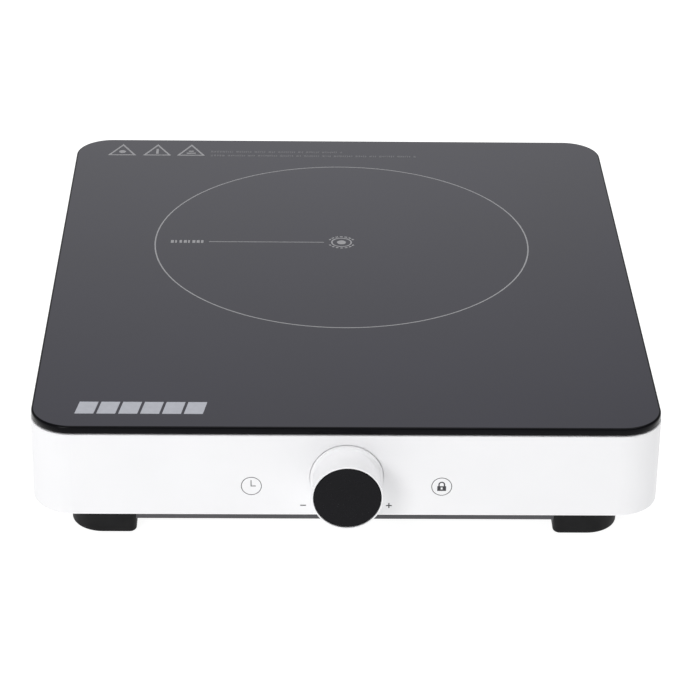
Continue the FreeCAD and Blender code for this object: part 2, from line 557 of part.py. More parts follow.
def heating_ribbon():
    """One upright ribbon laid in nearly closed rings, joined end to end, with both ends led out to the left."""
    low, high, thick, half_gap = 44.0, 49.0, 0.6, 11.0
    radii = [22.0 + 7.5 * i for i in range(9)]
    pieces = []
    for i, r in enumerate(radii):
        gap = math.degrees(math.asin(half_gap / r)) if half_gap < r else 60.0
        ring = tube(r + thick / 2, r - thick / 2, low, high)
        opening = sector(r + 5, low - 1, high + 1, 180 - gap, 2 * gap)
        pieces.append(ring.cut(opening))
        if i:
            inner = radii[i - 1]
            side = 1 if i % 2 else -1
            x_in = -math.sqrt(inner ** 2 - half_gap ** 2)
            x_out = -math.sqrt(r ** 2 - half_gap ** 2)
            y = side * half_gap
            pieces.append(block(x_out - thick / 2, x_in + thick / 2, y - thick / 2, y + thick / 2, low, high))
    first_x = -math.sqrt(radii[0] ** 2 - half_gap ** 2)
    last_x = -math.sqrt(radii[-1] ** 2 - half_gap ** 2)
    pieces.append(block(first_x - thick / 2, first_x + thick / 2, -half_gap - thick / 2, -6.7, low, high))
    pieces.append(block(-DISH_R + 2.0, first_x + thick / 2, -7.3, -6.7, low, high))
    pieces.append(block(last_x - thick / 2, last_x + thick / 2, half_gap - thick, half_gap + 3.0, low, high))
    keep("heating_ribbon", fuse(*pieces).translated(V(0, ZONE_Y, 0)))


def limiter():
    """The rod thermostat: a quartz rod across the zone and the switch that it works, outside the dish."""
    rod = Part.makeCylinder(2.5, 198.0, V(-DISH_R - 1.0, ZONE_Y, 56), V(1, 0, 0))
    keep("limiter_rod", rod)
    case = block(-DISH_R - 24, -DISH_R - 1.2, ZONE_Y - 13, ZONE_Y + 13, 45, 61.5)
    case = case.makeFillet(2.0, upright_edges(case))
    keep("limiter_switch", case)


def limiter_tabs():
    return [block(-DISH_R - 32, -DISH_R - 24, ZONE_Y + dy - 3.15, ZONE_Y + dy + 3.15, 52, 52.8)
            for dy in (-7, 7)]


def spring_place(angle):
    a = math.radians(angle)
    return SPRING_POST_R * math.cos(a), ZONE_Y + SPRING_POST_R * math.sin(a)


def heater_springs():
    """Three leaf springs that press the dish up against the glass."""
    profile = [(-6, POST_TOP + 0.8), (7, POST_TOP + 0.8), (28, DISH_BOTTOM - 0.1), (40, DISH_BOTTOM - 0.1)]
    leaf = bent_strip(profile, 0.8, 12.0).cut(upright(0, 0, SCREW_R + 0.1, 0, 40))
    leaves, screws = [], []
    for angle in SPRING_ANGLES:
        x, y = spring_place(angle)
        leaves.append(leaf.rotated(V(0, 0, 0), V(0, 0, 1), angle + 180).translated(V(x, y, 0)))
        screws.append(screw_down(x, y, POST_TOP + 0.8, 5.0))
    keep("heater_springs", *leaves)
    return screws


def heat_baffle():
    """A folded sheet between the hot dish and the electronics, on two legs."""
    wall = block(-124, 124, BAFFLE_Y - BAFFLE_T, BAFFLE_Y, 30, 60)
    fold = block(-124, 124, BAFFLE_Y - 6, BAFFLE_Y, 60 - BAFFLE_T, 60)
    legs = [block(x - 8, x + 8, BAFFLE_Y - BAFFLE_T, BAFFLE_Y, POST_TOP, 31) for x in BAFFLE_LEGS]
    soles = [block(x - 8, x + 8, BAFFLE_Y - BAFFLE_T, BAFFLE_Y + 12, POST_TOP, POST_TOP + BAFFLE_T)
             for x in BAFFLE_LEGS]
    holes = [upright(x, BAFFLE_SCREW_Y, SCREW_R + 0.1, 10, 20) for x in BAFFLE_LEGS]
    keep("heat_baffle", cut(fuse(wall, fold, *legs, *soles), *holes))
    return [screw_down(x, BAFFLE_SCREW_Y, POST_TOP + BAFFLE_T, 5.0) for x in BAFFLE_LEGS]


# ---------------------------------------------------------------- fan
def fan():
    top = FAN_BOTTOM + FAN_T
    plate_top = FAN_BOTTOM + 2.5
    frame = slab(FAN_SIZE, FAN_SIZE, 4.0, FAN_BOTTOM, top, FAN_X, FAN_Y)
    frame = frame.cut(upright(FAN_X, FAN_Y, DUCT_R, FAN_BOTTOM - 1, top + 1))
    hub = upright(FAN_X, FAN_Y, 14.0, FAN_BOTTOM, plate_top)
    bars = []
    for i in range(3):
        bar = block(FAN_X + 12, FAN_X + DUCT_R + 0.7, FAN_Y - 2, FAN_Y + 2, FAN_BOTTOM, plate_top)
        bars.append(turned(bar, 30 + 120 * i, FAN_X, FAN_Y))
    bearing = upright(FAN_X, FAN_Y, 3.5, plate_top - 1, FAN_BOTTOM + 11.5)
    holes = [upright(x, y, SCREW_R + 0.2, FAN_BOTTOM - 1, top + 1) for x, y in FAN_POSTS]
    holes.append(upright(FAN_X, FAN_Y, 1.1, plate_top - 0.6, top))
    keep("fan_frame", cut(fuse(frame, hub, *bars, bearing), *holes))

    pole = block(FAN_X + 4, FAN_X + 10.5, FAN_Y - 1.5, FAN_Y + 1.5, plate_top + 1.2, FAN_BOTTOM + 9)
    poles = [turned(pole, 90 * i, FAN_X, FAN_Y) for i in range(4)]
    shoes = tube(11.5, 9.8, plate_top + 1.2, FAN_BOTTOM + 9, FAN_X, FAN_Y)
    gap = block(FAN_X + 8, FAN_X + 14, FAN_Y - 1, FAN_Y + 1, FAN_BOTTOM, top)
    gaps = [turned(gap, 45 + 90 * i, FAN_X, FAN_Y) for i in range(4)]
    core = fuse(tube(5.5, 3.55, plate_top + 1.2, FAN_BOTTOM + 9, FAN_X, FAN_Y), *poles, cut(shoes, *gaps))
    keep("fan_stator", core)

    cup = tube(14.0, 12.5, plate_top + 0.8, top - 1.0, FAN_X, FAN_Y)
    lid = upright(FAN_X, FAN_Y, 14.0, top - 2.4, top - 1.0)
    shaft = upright(FAN_X, FAN_Y, 1.0, plate_top, top - 2.0)
    blade = fan_blade(plate_top + 1.0, top - 1.2)
    blades = [turned(blade, 360.0 / 7 * i, FAN_X, FAN_Y) for i in range(7)]
    keep("fan_rotor", fuse(cup, lid, shaft, *blades))
    return [screw_down(x, y, top, FAN_T + 2.5) for x, y in FAN_POSTS]


def fan_blade(z0, z1):
    """One twisted blade, from inside the hub's wall to just short of the duct."""
    middle, thick = (z0 + z1) / 2, 1.4

    def section(radius, length, pitch):
        c, s = math.cos(math.radians(pitch)), math.sin(math.radians(pitch))
        half, edge = length / 2, thick / 2
        corners = [(-half, -edge), (half, -edge), (half, edge), (-half, edge)]
        pts = [V(FAN_X + radius, FAN_Y + u * c - w * s, middle + u * s + w * c) for u, w in corners]
        return Part.makePolygon(pts + pts[:1])

    return Part.makeLoft([section(13.2, 10.5, 42), section(FAN_TIP_R, 13.5, 28)], True, True)


# ---------------------------------------------------------------- electronics and leads
def power_board():
    x0, x1 = BOARD_X
    y0, y1 = BOARD_Y
    board = block(x0, x1, y0, y1, BOARD_Z, BOARD_Z + BOARD_T)
    board = board.makeFillet(2.0, upright_edges(board))
    holes = [upright(x, y, SCREW_R + 0.1, BOARD_Z - 1, BOARD_Z + 3) for x, y in POWER_POSTS]
    keep("power_board", cut(board, *holes))
    return [screw_down(x, y, BOARD_Z + BOARD_T, 6.5) for x, y in POWER_POSTS]


def board_parts(socket):
    top = BOARD_Z + BOARD_T
    base = block(-60, -6, -84, -80, top, 43)
    fins = [block(x, x + 1.4, -80.5, -72, top, 43) for x in [-60 + 5.26 * i for i in range(11)]]
    keep("heatsink", fuse(base, *fins))

    package = block(-38, -28, -88.6, -84.1, 24, 33)
    tab = block(-38, -28, -85.4, -84.1, 33, 39)
    tab = tab.cut(Part.makeCylinder(1.8, 4, V(-33, -86.5, 36), V(0, 1, 0)))
    legs = [block(-33 + d - 0.4, -33 + d + 0.4, -86.6, -86.0, top, 24) for d in (-2.54, 0, 2.54)]
    keep("triac", fuse(package, tab, *legs))

    case = block(-96, -68, -96, -83, top, 35)
    keep("relay", case.makeFillet(1.0, upright_edges(case) + edges_at(case, 35)))
    cap_box = block(-117, -91, -117.5, -106, top, 34)
    cap_box = cap_box.makeFillet(1.2, upright_edges(cap_box) + edges_at(cap_box, 34))
    can = upright(-78, -112, 6.3, top, 38)
    can = can.makeFillet(0.8, edges_at(can, 38))
    neck = tube(8, 5.7, top + 2.2, top + 3.4, -78, -112)
    keep("capacitors", cap_box, can.cut(neck))

    core = block(-62, -40, -124, -106, top + 4, top + 18)
    window = block(-58, -44, -130, -100, top + 7, top + 15)
    limb = block(-54, -48, -124, -106, top + 7, top + 15)
    keep("transformer_core", fuse(core.cut(window), limb))
    core_space = block(-54.1, -47.9, -130, -100, top + 4, top + 15.1)
    bobbin = block(-57.9, -44.1, -127, -103, top, top + 14.9).cut(core_space)
    under = block(-63, -39, -125, -105, top + 3.9, top + 7.1)
    over_limb = block(-54.1, -47.9, -124.1, -105.9, top + 3.9, top + 15.1)
    keep("transformer_winding", cut(bobbin, under, over_limb))

    tabs = [block(x - 3.15, x + 3.15, y - 0.4, y + 0.4, top, top + 9)
            for x in TAB_X for y in (HEATER_TAB_Y, MAINS_TAB_Y)]
    fuse_body = Part.makeCylinder(2.6, 20, V(-24, -98, top + 4), V(1, 0, 0))
    clips = [block(x, x + 3.2, -101.2, -94.8, top, top + 5.4) for x in (-23.5, -7.7)]
    clips = [c.cut(fuse_body) for c in clips]
    keep("fuse", fuse_body)
    keep("blade_tabs", *tabs, *clips, *limiter_tabs())
    header = block(-22, -2, -125.5, -119, top, top + 6)
    header = header.cut(block(-21, -3, -124.5, -120, top + 1.5, top + 8))
    fan_header = block(0, 6, -112, -104, top, top + 6).cut(block(1, 7, -111, -105, top + 1.5, top + 5))
    keep("board_sockets", header, fan_header, socket)


def terminal_block():
    z0, z1 = POST_TOP, 30.0
    body = block(BLOCK_X - 18, BLOCK_X + 18, BLOCK_Y - 8, BLOCK_Y + 8, z0, z1)
    body = body.makeFillet(1.0, upright_edges(body))
    tools = [upright(BLOCK_X + dx, BLOCK_Y + dy, 1.9, 24, 40) for dx in BLOCK_WAYS for dy in (-4, 4)]
    tools += [Part.makeCylinder(2.0, 30, V(BLOCK_X + dx, BLOCK_Y - 15, 20.5), V(0, 1, 0))
              for dx in BLOCK_WAYS]
    tools += [upright(x, y, SCREW_HEAD_R + 0.3, 18, 40) for x, y in BLOCK_POSTS]
    tools += [upright(x, y, SCREW_R + 0.1, 10, 20) for x, y in BLOCK_POSTS]
    keep("terminal_block", cut(body, *tools))
    return [screw_down(x, y, 18.0, 7.5) for x, y in BLOCK_POSTS]


def leads():
    """The insulated leads, as routes of their middle line."""
    tab_top = BOARD_Z + BOARD_T + 9.2
    front, rear = ZONE_Y - 7, ZONE_Y + 7
    near, far = TAB_X[1], TAB_X[0]
    heater = [
        [(-132.4, front, 52.4), (-137.5, front, 52.4), (-129.5, 16, 47), (-129.5, -12, 41), (-129.5, -50, 36),
         (-129, -75, 35.5), (-108, -76, 35), (near, HEATER_TAB_Y, 34), (near, HEATER_TAB_Y, tab_top)],
        [(-132.4, rear, 52.4), (-141, rear, 52.4), (-141, 30, 51.5), (-133.5, 14, 47), (-133.5, -12, 41),
         (-133.5, -50, 35), (-132.5, -82, 34), (-118, -81, 34), (far, HEATER_TAB_Y, 33),
         (far, HEATER_TAB_Y, tab_top)],
    ]
    keep("heater_leads", *[route_tube(points, 1.3) for points in heater])
    start_y, start_z = BLOCK_Y - 8.2, 20.5
    left, middle, right = [BLOCK_X + dx for dx in BLOCK_WAYS]
    mains = [
        [(left, start_y, start_z), (left, 98, 20), (-125.3, 70, 14), (-125.3, 10, 13), (-125.3, -50, 14),
         (-125.3, -98, 26), (-117, -102, 31), (far, MAINS_TAB_Y, 31), (far, MAINS_TAB_Y, tab_top)],
        [(middle, start_y, start_z), (middle, 98, 20), (-121.3, 68, 14), (-121.3, 10, 13), (-121.3, -50, 14),
         (-121.3, -88, 27), (-107, -93, 32), (near, MAINS_TAB_Y, 32), (near, MAINS_TAB_Y, tab_top)],
    ]
    keep("mains_leads", *[route_tube(points, 1.3) for points in mains])
    earth = [(right, start_y, start_z), (right, 98, 20.5), (-79, 86, 23), (-75, 81, 27), (-75, 80, 32.8)]
    keep("earth_lead", route_tube(earth, 1.3))
    fan_lead = [(1.8, -108, 18.85), (16, -108, 18.7), (30, -104, 16.5), (45.8, -102, 15)]
    keep("fan_lead", route_tube(fan_lead, 1.0))


def display_cable():
    """The flat cable between the two boards: out of the upper socket, down and into the lower header."""
    upper_y, upper_z = FRONT_Y - BOARD_BACK + 3.0, KNOB_Z - 12.0
    lower_y, lower_z = -122.25, BOARD_Z + BOARD_T + 3.0
    thick = 1.0
    outline = [(upper_y, upper_z), (lower_y - thick / 2, upper_z), (lower_y - thick / 2, lower_z),
               (lower_y + thick / 2, lower_z), (lower_y + thick / 2, upper_z + thick), (upper_y, upper_z + thick)]
    pts = [V(-19, y, z) for y, z in outline]
    strip = Part.Face(Part.makePolygon(pts + pts[:1])).extrude(V(14, 0, 0))
    corner = [e for e in strip.Edges if e.BoundBox.XLength > 13 and abs(e.BoundBox.ZMin - upper_z) < 1.1
              and abs(e.BoundBox.YMin - lower_y) < 0.6]
    outer = [e for e in corner if e.BoundBox.YMin > lower_y]
    inner = [e for e in corner if e.BoundBox.YMin < lower_y]
    strip = strip.makeFillet(3.0, outer)
    inner = [e for e in strip.Edges if e.BoundBox.XLength > 13 and abs(e.BoundBox.ZMin - upper_z) < 0.01
             and abs(e.BoundBox.YMin - lower_y + thick / 2) < 0.01]
    keep("display_cable", strip.makeFillet(2.0, inner))


def inner_screws(*groups):
    """The short screws inside, all alike but for their length."""
    forward = [screw_forward(x, KNOB_Z + dz, GUIDE_BACK, 16.0) for x, dz in GUIDE_POSTS]
    forward += [screw_forward(x, KNOB_Z + dz, BOARD_BACK, 9.0) for x, dz in BOARD_POSTS]
    keep("inner_screws", *forward, *[s for group in groups for s in group])


def build():
    glass_top()
    glass_seal()
    housing()
    rear_panel()
    base_pan()
    feet()
    base_screws()
    cord_gland()
    clamp_screws = cord_clamp()
    knob_ring()
    knob_bush()
    gears()
    encoder()
    display_holder()
    display()
    knob_guide()
    press_switch()
    socket = control_board()
    heater_dish()
    insulation()
    heating_ribbon()
    limiter()
    spring_screws = heater_springs()
    baffle_screws = heat_baffle()
    fan_screws = fan()
    board_screws = power_board()
    board_parts(socket)
    block_screws = terminal_block()
    leads()
    display_cable()
    inner_screws(clamp_screws, spring_screws, baffle_screws, fan_screws, board_screws, block_screws)


def write():
    os.makedirs("parts", exist_ok=True)
    for old in os.listdir("parts"):
        if old.endswith(".step"):
            os.remove(os.path.join("parts", old))
    for node, solids in made.items():
        for solid in solids:
            if not solid.isValid() or solid.Volume <= 0:
                print("check this node:", node, solid.isValid(), round(solid.Volume, 2))
        Part.makeCompound(solids).exportStep("parts/" + node + ".step")
    box = Part.makeCompound([s for solids in made.values() for s in solids]).BoundBox
    print(len(made), "nodes,", sum(len(s) for s in made.values()), "solids")
    print("bounds", [round(v, 2) for v in (box.XMin, box.XMax, box.YMin, box.YMax, box.ZMin, box.ZMax)])


build()
write()
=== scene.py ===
import json
import math

import bmesh
import bpy
from mathutils import Matrix, Vector


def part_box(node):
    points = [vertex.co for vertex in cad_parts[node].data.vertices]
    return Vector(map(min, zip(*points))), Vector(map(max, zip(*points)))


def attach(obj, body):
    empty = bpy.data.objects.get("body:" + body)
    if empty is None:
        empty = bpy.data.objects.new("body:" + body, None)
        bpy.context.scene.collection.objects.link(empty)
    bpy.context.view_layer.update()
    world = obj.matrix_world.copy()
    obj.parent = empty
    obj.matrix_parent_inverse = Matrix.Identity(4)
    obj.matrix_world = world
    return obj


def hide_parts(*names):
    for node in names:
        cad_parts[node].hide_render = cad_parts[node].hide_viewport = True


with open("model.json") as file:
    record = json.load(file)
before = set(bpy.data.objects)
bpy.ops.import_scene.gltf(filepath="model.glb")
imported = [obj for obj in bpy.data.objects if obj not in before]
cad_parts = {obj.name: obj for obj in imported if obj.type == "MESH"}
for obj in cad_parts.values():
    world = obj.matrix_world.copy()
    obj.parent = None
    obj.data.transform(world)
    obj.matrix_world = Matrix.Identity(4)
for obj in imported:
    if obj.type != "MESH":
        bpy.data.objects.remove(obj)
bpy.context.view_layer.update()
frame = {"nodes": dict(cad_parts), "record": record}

# ---------------------------------------------------------------- places, in millimetres, from the frame
MM = 0.001


def mm(node, corner, axis):
    """One side of a node's box: corner 0 is the low one, and 1 the high one."""
    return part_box(node)[corner][axis] / MM


GLASS_TOP = mm("glass_top", 1, 2)
GLASS_BOTTOM = mm("glass_top", 0, 2)
GLASS_X = mm("glass_top", 1, 0)
GLASS_FRONT, GLASS_BACK = mm("glass_top", 0, 1), mm("glass_top", 1, 1)
GLASS_Y = (GLASS_FRONT + GLASS_BACK) / 2
PANEL_Y = mm("housing", 0, 1)
CORNER_R = 20.0
ZONE_Y = (mm("heater_dish", 0, 1) + mm("heater_dish", 1, 1)) / 2

# ---------------------------------------------------------------- materials


def surface(name, color, rough, metallic=0.0, tint=0.04, patch=30.0, grain=1400.0, lift=0.01, sockets=None):
    """A procedural finish. The colour drifts over patches, the roughness varies between two values, and a
    fine grain lifts the surface by lift millimetres. patch and grain are in cycles per metre."""
    mat = bpy.data.materials.new(name)
    mat.use_nodes = True
    tree = mat.node_tree
    tree.nodes.clear()
    out = tree.nodes.new("ShaderNodeOutputMaterial")
    shader = tree.nodes.new("ShaderNodeBsdfPrincipled")
    coords = tree.nodes.new("ShaderNodeTexCoord")
    tree.links.new(shader.outputs["BSDF"], out.inputs["Surface"])

    def noise(scale, detail, roughness=0.5):
        node = tree.nodes.new("ShaderNodeTexNoise")
        node.inputs["Scale"].default_value = scale
        node.inputs["Detail"].default_value = detail
        node.inputs["Roughness"].default_value = roughness
        tree.links.new(coords.outputs["Object"], node.inputs["Vector"])
        return node

    ramp = tree.nodes.new("ShaderNodeValToRGB")
    ramp.color_ramp.elements[0].position, ramp.color_ramp.elements[1].position = 0.3, 0.7
    ramp.color_ramp.elements[0].color = [c * (1 - tint) for c in color] + [1]
    ramp.color_ramp.elements[1].color = [min(1.0, c * (1 + tint)) for c in color] + [1]
    tree.links.new(noise(patch, 4.0).outputs["Fac"], ramp.inputs["Fac"])
    tree.links.new(ramp.outputs["Color"], shader.inputs["Base Color"])

    spread = tree.nodes.new("ShaderNodeMapRange")
    spread.inputs["From Min"].default_value, spread.inputs["From Max"].default_value = 0.3, 0.7
    spread.inputs["To Min"].default_value, spread.inputs["To Max"].default_value = rough
    tree.links.new(noise(patch * 2.3, 6.0, 0.6).outputs["Fac"], spread.inputs["Value"])
    tree.links.new(spread.outputs["Result"], shader.inputs["Roughness"])

    if lift:
        bump = tree.nodes.new("ShaderNodeBump")
        bump.inputs["Strength"].default_value = 1.0
        bump.inputs["Distance"].default_value = lift * MM
        tree.links.new(noise(grain, 3.0, 0.6).outputs["Fac"], bump.inputs["Height"])
        tree.links.new(bump.outputs["Normal"], shader.inputs["Normal"])
    shader.inputs["Metallic"].default_value = metallic
    for socket, value in (sockets or {}).items():
        shader.inputs[socket].default_value = value
    return mat


finishes = {
    "black_glass": surface("ceramic_glass", (0.0045, 0.0042, 0.0125), (0.035, 0.06), tint=0.12, patch=12,
                           grain=40, lift=0.0006, sockets={"Specular Tint": (0.93, 0.93, 1.0, 1)}),
    "white_shell": surface("white_moulded_plastic", (0.83, 0.83, 0.84), (0.36, 0.44), tint=0.012, grain=2600,
                           lift=0.0035),
    "grey_pan": surface("dark_grey_satin", (0.071, 0.07, 0.077), (0.42, 0.52), tint=0.06, grain=1800,
                        lift=0.006),
    "black_rubber": surface("foot_rubber", (0.005, 0.005, 0.0056), (0.5, 0.66), tint=0.15, patch=60,
                            grain=2200, lift=0.012, sockets={"Specular IOR Level": 0.2}),
    "black_plastic": surface("black_plastic", (0.014, 0.014, 0.015), (0.4, 0.5), tint=0.1, grain=1900,
                             lift=0.008),
    "black_lens": surface("display_window", (0.0008, 0.0007, 0.0022), (0.24, 0.32), tint=0.1, patch=80,
                          grain=700, lift=0.001, sockets={"Specular IOR Level": 0.15}),
    "bright_screw": surface("zinc_plated_screw", (0.55, 0.56, 0.58), (0.25, 0.4), 1.0, 0.08, 400, 3000, 0.004),
    "spring_steel": surface("spring_steel", (0.42, 0.42, 0.43), (0.3, 0.42), 1.0, 0.1, 300, 3000, 0.003),
    "plated_sheet": surface("plated_sheet", (0.6, 0.6, 0.59), (0.3, 0.45), 1.0, 0.1, 60, 900, 0.01),
    "heater_wire": surface("oxidised_ribbon", (0.16, 0.14, 0.13), (0.45, 0.6), 0.8, 0.2, 200, 2000, 0.01),
    "insulation": surface("pressed_fibre", (0.74, 0.7, 0.62), (0.85, 0.95), 0.0, 0.08, 150, 700, 0.12),
    "quartz": surface("quartz_tube", (0.85, 0.86, 0.87), (0.05, 0.1), 0.0, 0.03, 100, 500, 0.002,
                      {"Transmission Weight": 0.8, "IOR": 1.46}),
    "white_ceramic": surface("steatite", (0.76, 0.75, 0.71), (0.5, 0.65), 0.0, 0.05, 200, 1500, 0.02),
    "white_nylon": surface("natural_nylon", (0.72, 0.72, 0.68), (0.4, 0.5), 0.0, 0.03, 100, 1500, 0.008),
    "green_board": surface("board_laminate", (0.02, 0.13, 0.055), (0.3, 0.42), 0.0, 0.15, 500, 2500, 0.01),
    "silicone": surface("silicone_bead", (0.03, 0.03, 0.031), (0.45, 0.6), 0.0, 0.1, 200, 900, 0.03),
    "brass_blade": surface("tinned_brass", (0.62, 0.52, 0.3), (0.25, 0.4), 1.0, 0.1, 400, 3000, 0.003),
    "aluminium": surface("bare_aluminium", (0.7, 0.71, 0.72), (0.3, 0.45), 1.0, 0.06, 80, 1200, 0.01),
    "dark_component": surface("component_moulding", (0.03, 0.03, 0.033), (0.45, 0.6), 0.0, 0.12, 300, 1800,
                              0.012),
    "yellow_component": surface("capacitor_film", (0.62, 0.38, 0.05), (0.3, 0.42), 0.0, 0.08, 200, 1500,
                                0.006),
    "winding": surface("lacquered_winding", (0.4, 0.14, 0.03), (0.3, 0.5), 0.2, 0.2, 800, 2500, 0.06),
    "laminated_core": surface("core_stack", (0.07, 0.07, 0.075), (0.5, 0.7), 0.4, 0.2, 500, 2500, 0.04),
    "fuse_glass": surface("fuse_tube", (0.8, 0.82, 0.82), (0.05, 0.12), 0.0, 0.04, 300, 900, 0.002,
                          {"Transmission Weight": 0.7}),
    "dark_lead": surface("lead_sleeve", (0.2, 0.03, 0.025), (0.5, 0.62), 0.0, 0.1, 300, 1800, 0.015),
    "green_lead": surface("earth_sleeve", (0.2, 0.36, 0.04), (0.5, 0.62), 0.0, 0.1, 300, 1800, 0.015),
    "flat_cable": surface("flat_cable_sleeve", (0.5, 0.5, 0.5), (0.5, 0.62), 0.0, 0.05, 300, 1800, 0.02),
}
glass_edge = surface("ground_glass_edge", (0.0025, 0.0025, 0.0035), (0.16, 0.24), tint=0.1, patch=60,
                     grain=900, lift=0.001, sockets={"Specular IOR Level": 0.07})
light_ink = surface("light_print", (0.29, 0.29, 0.3), (0.4, 0.55), tint=0.06, patch=400, grain=4000,
                    lift=0.002)
bright_ink = surface("bright_print", (0.4, 0.41, 0.45), (0.4, 0.55), tint=0.05, patch=400, grain=4000,
                     lift=0.002)
faint_ink = surface("faint_print", (0.11, 0.11, 0.12), (0.4, 0.55), tint=0.06, patch=400, grain=4000,
                    lift=0.002)
panel_ink = surface("panel_print", (0.03, 0.03, 0.035), (0.45, 0.6), tint=0.1, patch=600, grain=4000,
                    lift=0.002)

for row in frame["record"]["subparts"]:
    node = frame["nodes"][row["node"]]
    node.data.materials.clear()
    node.data.materials.append(finishes[row["material_slot"]])


# ---------------------------------------------------------------- mesh helpers
def piece(name, verts, faces, body, slot, *mats):
    """A mesh from points in millimetres, riding on a body."""
    mesh = bpy.data.meshes.new(name)
    mesh.from_pydata([Vector(v) * MM for v in verts], [], faces)
    mesh.validate()
    obj = bpy.data.objects.new(name, mesh)
    bpy.context.scene.collection.objects.link(obj)
    for mat in mats:
        mesh.materials.append(mat)
    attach(obj, body)
    return obj


def rounded_outline(half_x, y0, y1, radius, steps=24):
    """The outline of a rounded rectangle about x 0, anticlockwise seen from above."""
    points = []
    for cx, cy, start in ((half_x - radius, y1 - radius, 0), (radius - half_x, y1 - radius, 90),
                          (radius - half_x, y0 + radius, 180), (half_x - radius, y0 + radius, 270)):
        for i in range(steps + 1):
            a = math.radians(start + 90 * i / steps)
            points.append((cx + radius * math.cos(a), cy + radius * math.sin(a)))
    return points


def glass_plate():
    """The glass with a rounded, ground edge between its underside and its polished top. Each point of the
    profile is how far in from the edge and how high, and makes one ring of points round the plate."""
    edge_r, edge_steps, chamfer = 1.0, 8, 0.4
    profile = [(chamfer, GLASS_BOTTOM), (0.1, GLASS_BOTTOM + chamfer - 0.05),
               (0.0, GLASS_BOTTOM + chamfer + 0.1)]
    for i in range(edge_steps + 1):
        a = math.radians(90 * i / edge_steps)
        profile.append((edge_r * (1 - math.cos(a)), GLASS_TOP - edge_r * (1 - math.sin(a))))
    verts, faces = [], []
    for inset, z in profile:
        outline = rounded_outline(GLASS_X - inset, GLASS_FRONT + inset, GLASS_BACK - inset, CORNER_R - inset)
        verts += [(x, y, z) for x, y in outline]
    n = len(verts) // len(profile)
    for lower in range(0, (len(profile) - 1) * n, n):
        for i in range(n):
            j = (i + 1) % n
            faces.append((lower + i, lower + j, lower + n + j, lower + n + i))
    faces.append(tuple(reversed(range(n))))
    faces.append(tuple(range(len(verts) - n, len(verts))))
    obj = piece("glass_plate", verts, faces, "base", "black_glass", finishes["black_glass"], glass_edge)
    polished, ground = 0, 1
    for poly in obj.data.polygons:
        on_edge = len(poly.vertices) == 4
        poly.material_index = ground if on_edge else polished
        poly.use_smooth = on_edge
    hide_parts("glass_top")


# ---------------------------------------------------------------- printed marks
INK_ABOVE, INK_BELOW = 0.02, 0.01


def circle(cx, cy, r, steps):
    """Points round a circle."""
    return [(cx + r * math.cos(2 * math.pi * i / steps), cy + r * math.sin(2 * math.pi * i / steps))
            for i in range(steps)]


def ring(cx, cy, r, width, steps=96):
    """A closed band: (one side, other side, closed)."""
    return circle(cx, cy, r - width / 2, steps), circle(cx, cy, r + width / 2, steps), True


def stroke(points, width, closed=False):
    """A line of even width with mitred corners."""
    left, right = [], []
    n = len(points)
    for i, p in enumerate(points):
        before = points[i - 1] if i or closed else None
        after = points[(i + 1) % n] if i < n - 1 or closed else None
        ends = [(a, b) for a, b in ((before, p), (p, after)) if a is not None and b is not None]
        ways = [(Vector(b) - Vector(a)).normalized() for a, b in ends]
        normals = [Vector((-w.y, w.x)) for w in ways]
        mitre = sum(normals, Vector((0, 0))).normalized()
        reach = width / 2 / max(0.3, mitre.dot(normals[0]))
        left.append(tuple(Vector(p) + mitre * reach))
        right.append(tuple(Vector(p) - mitre * reach))
    return right, left, closed


def bar(x0, x1, y0, y1):
    """A filled rectangle."""
    return [(x0, y0), (x1, y0)], [(x0, y1), (x1, y1)], False


def arc(cx, cy, r, start, end, width, steps):
    """A curved line from one angle to another, in degrees."""
    angles = [math.radians(start + (end - start) * i / steps) for i in range(steps + 1)]
    return stroke([(cx + r * math.cos(a), cy + r * math.sin(a)) for a in angles], width)


def disc(cx, cy, r, steps=32):
    """A filled disc as two half outlines that meet at both ends."""
    upper = [(cx - r * math.cos(math.pi * i / steps), cy + r * math.sin(math.pi * i / steps))
             for i in range(1, steps)]
    return [(x, 2 * cy - y) for x, y in upper], upper, False


def printed(name, bands, place, ink, slot):
    """Thin closed prisms of ink, one for each band. place takes (u, v, height) to a point in millimetres."""
    verts, faces = [], []
    for one, other, closed in bands:
        n, base = len(one), len(verts)
        for outline in (one, other):
            for height in (-INK_BELOW, INK_ABOVE):
                verts += [place(u, v, height) for u, v in outline]
        low_a, top_a, low_b, top_b = base, base + n, base + 2 * n, base + 3 * n
        for i in range(n if closed else n - 1):
            j = (i + 1) % n
            faces += [(top_a + i, top_a + j, top_b + j, top_b + i),
                      (low_a + j, low_a + i, low_b + i, low_b + j),
                      (low_a + i, low_a + j, top_a + j, top_a + i),
                      (low_b + j, low_b + i, top_b + i, top_b + j)]
        if not closed:
            last = n - 1
            faces += [(low_a, top_a, top_b, low_b),
                      (low_a + last, low_b + last, top_b + last, top_a + last)]
    obj = piece(name, verts, faces, "base", slot, ink)
    mesh = bmesh.new()
    mesh.from_mesh(obj.data)
    bmesh.ops.recalc_face_normals(mesh, faces=mesh.faces)
    mesh.to_mesh(obj.data)
    mesh.free()


def on_glass(u, v, height):
    """u to the right and v to the back, from the middle of the glass."""
    return u, GLASS_Y + v, GLASS_TOP + height


def on_panel(u, v, height):
    """u to the right and v up from the table, on the front panel."""
    return u, PANEL_Y - height, v


